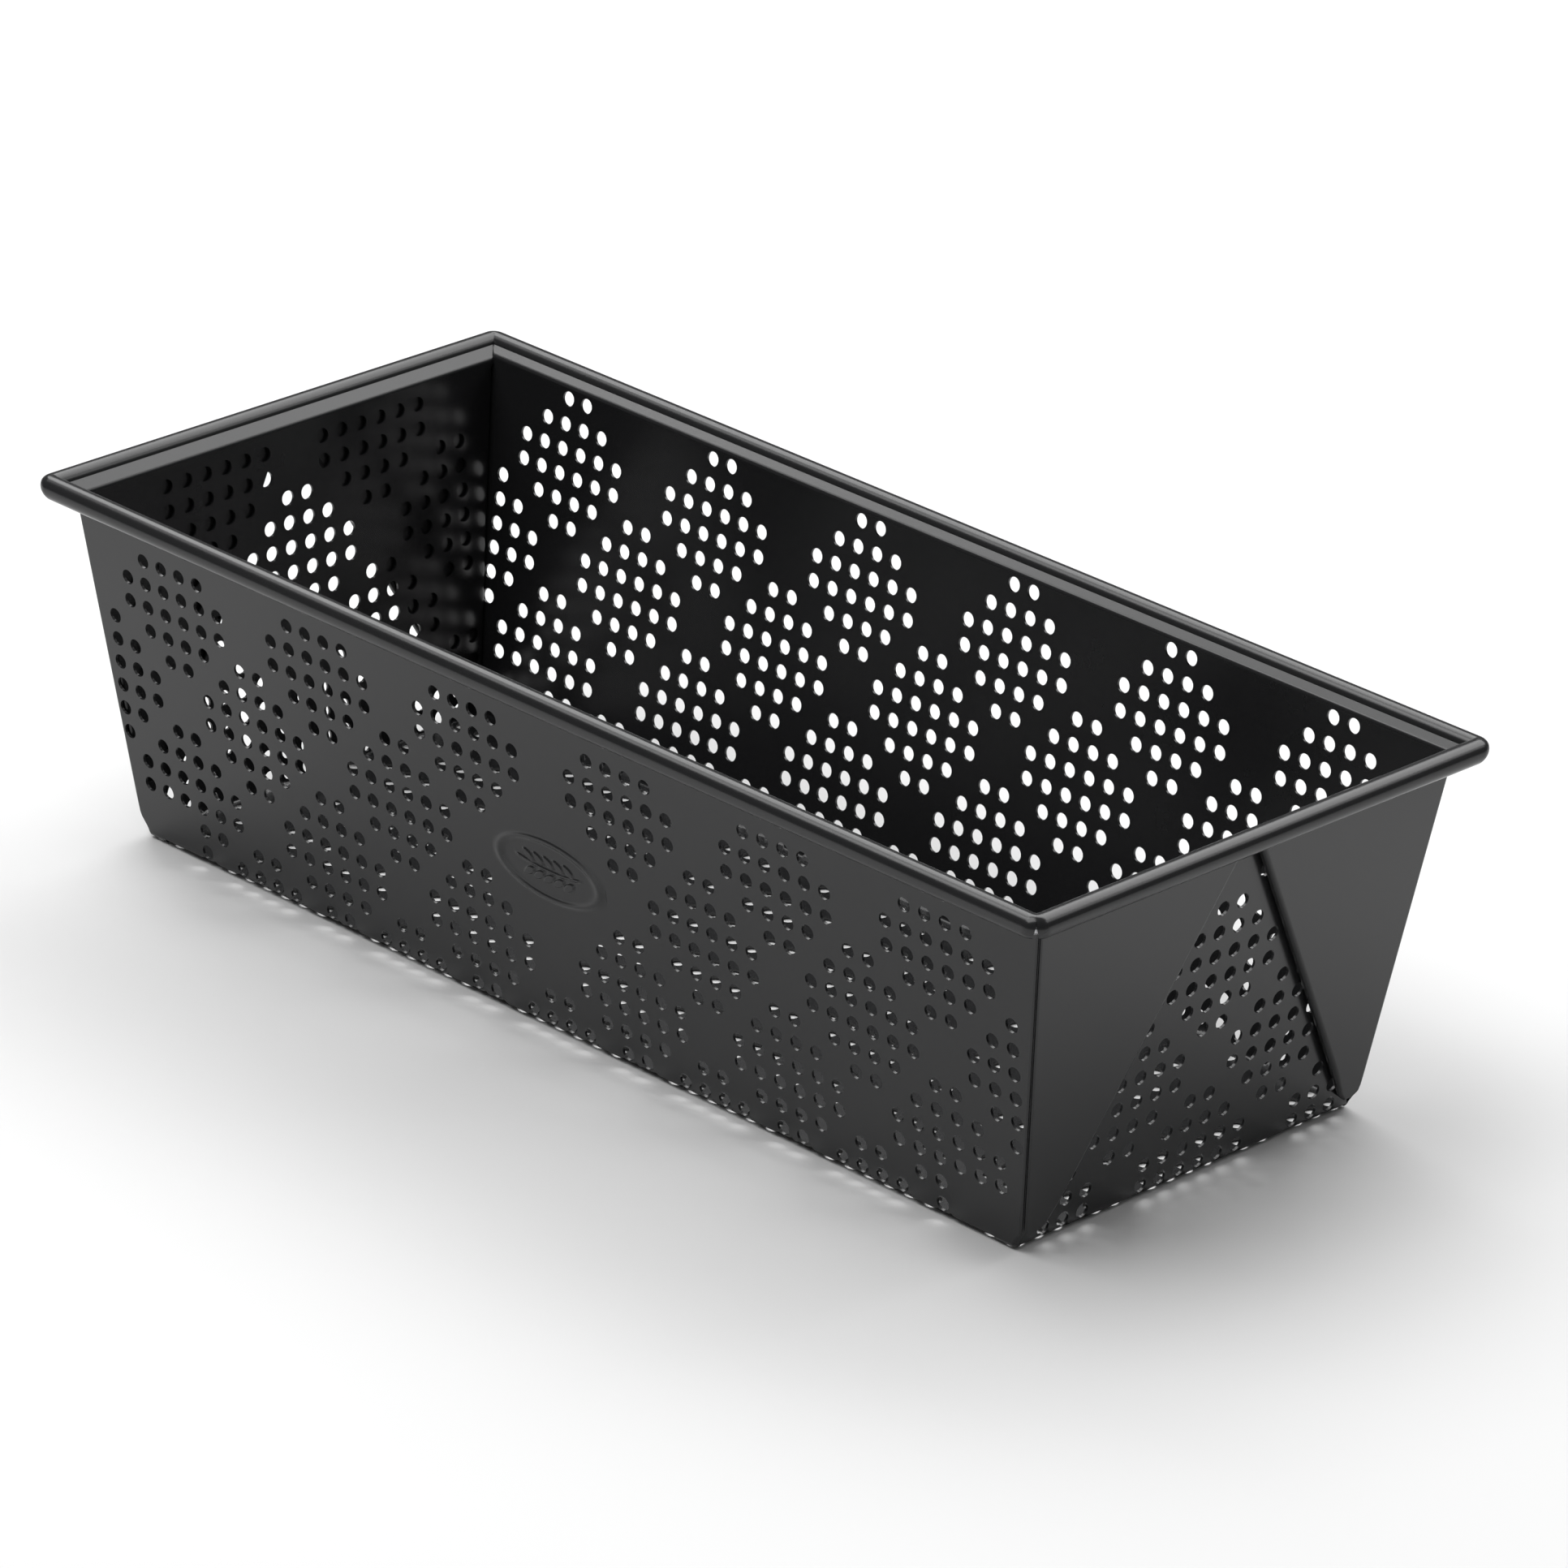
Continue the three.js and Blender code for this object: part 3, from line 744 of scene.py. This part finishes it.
curl("front_rim", LONG, END, 3, ["front_rim_curl"], coating)
wire = bpy.data.objects["rim_wire"]
wire.data.materials.clear()
wire.data.materials.append(wire_steel)

# ------------------------------------------------------------------ floor, light and camera
def plane(name, size, place, aim=None):
    mesh = bpy.data.meshes.new(name)
    h = size / 2
    mesh.from_pydata([(-h, -h, 0), (h, -h, 0), (h, h, 0), (-h, h, 0)], [], [(0, 1, 2, 3)])
    obj = bpy.data.objects.new(name, mesh)
    bpy.context.scene.collection.objects.link(obj)
    obj.location = place
    return obj


floor = plane("studio_floor", 12.0, (0, 0, -0.0003))
floor.data.materials.append(floor_material())
floor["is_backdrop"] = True


def soft_light(name, place, width, height, brightness):
    """Rectangular soft box that looks at the pan. Its power is its brightness times pi times its area."""
    light = bpy.data.lights.new(name, "AREA")
    light.shape = "RECTANGLE"
    light.size, light.size_y = width, height
    light.energy = brightness * math.pi * width * height
    obj = bpy.data.objects.new(name, light)
    bpy.context.scene.collection.objects.link(obj)
    obj.location = place
    obj.rotation_euler = (-Vector(place)).to_track_quat("-Z", "Y").to_euler()
    return obj


def from_direction(bearing, height, distance):
    """Place at a distance from the pan, seen from it at a bearing (degrees from +X) and a height angle."""
    b, h = math.radians(bearing), math.radians(height)
    return (distance * math.cos(h) * math.cos(b), distance * math.cos(h) * math.sin(b), distance * math.sin(h))


soft_light("front_box", (-0.4, -0.5, 1.6), 1.3, 1.3, 3.7)
soft_light("back_box", from_direction(117, 50, 1.7), 2.7, 0.9, 4.0)
soft_light("left_box", from_direction(182, 54, 1.7), 0.8, 0.6, 2.0)
soft_light("right_box", from_direction(50, 38, 1.7), 0.6, 0.4, 2.0)

world = bpy.data.worlds.new("studio")
world.use_nodes = True
world.node_tree.nodes["Background"].inputs["Color"].default_value = (1, 1, 1, 1)
world.node_tree.nodes["Background"].inputs["Strength"].default_value = 0.14
bpy.context.scene.world = world

camera_data = bpy.data.cameras.new("camera")
camera_data.sensor_width = 36.0
camera_data.lens = 36.0 * 11569.6 / 1932
camera_data.clip_end = 50.0
camera = bpy.data.objects.new("camera", camera_data)
bpy.context.scene.collection.objects.link(camera)
right = (0.70529, 0.70805, 0.03507)
down = (0.31378, -0.26743, -0.91106)
ahead = (-0.63570, 0.65356, -0.41079)
camera.matrix_world = Matrix((
    (right[0], -down[0], -ahead[0], 1.10997),
    (right[1], -down[1], -ahead[1], -1.12952),
    (right[2], -down[2], -ahead[2], 0.75130),
    (0, 0, 0, 1)))
bpy.context.scene.camera = camera
bpy.context.scene.view_settings.view_transform = "Standard"

to_list = lambda box: [list(map(float, corner)) for corner in box]
{"cad": to_list(cad_box), "visual": to_list(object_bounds())}
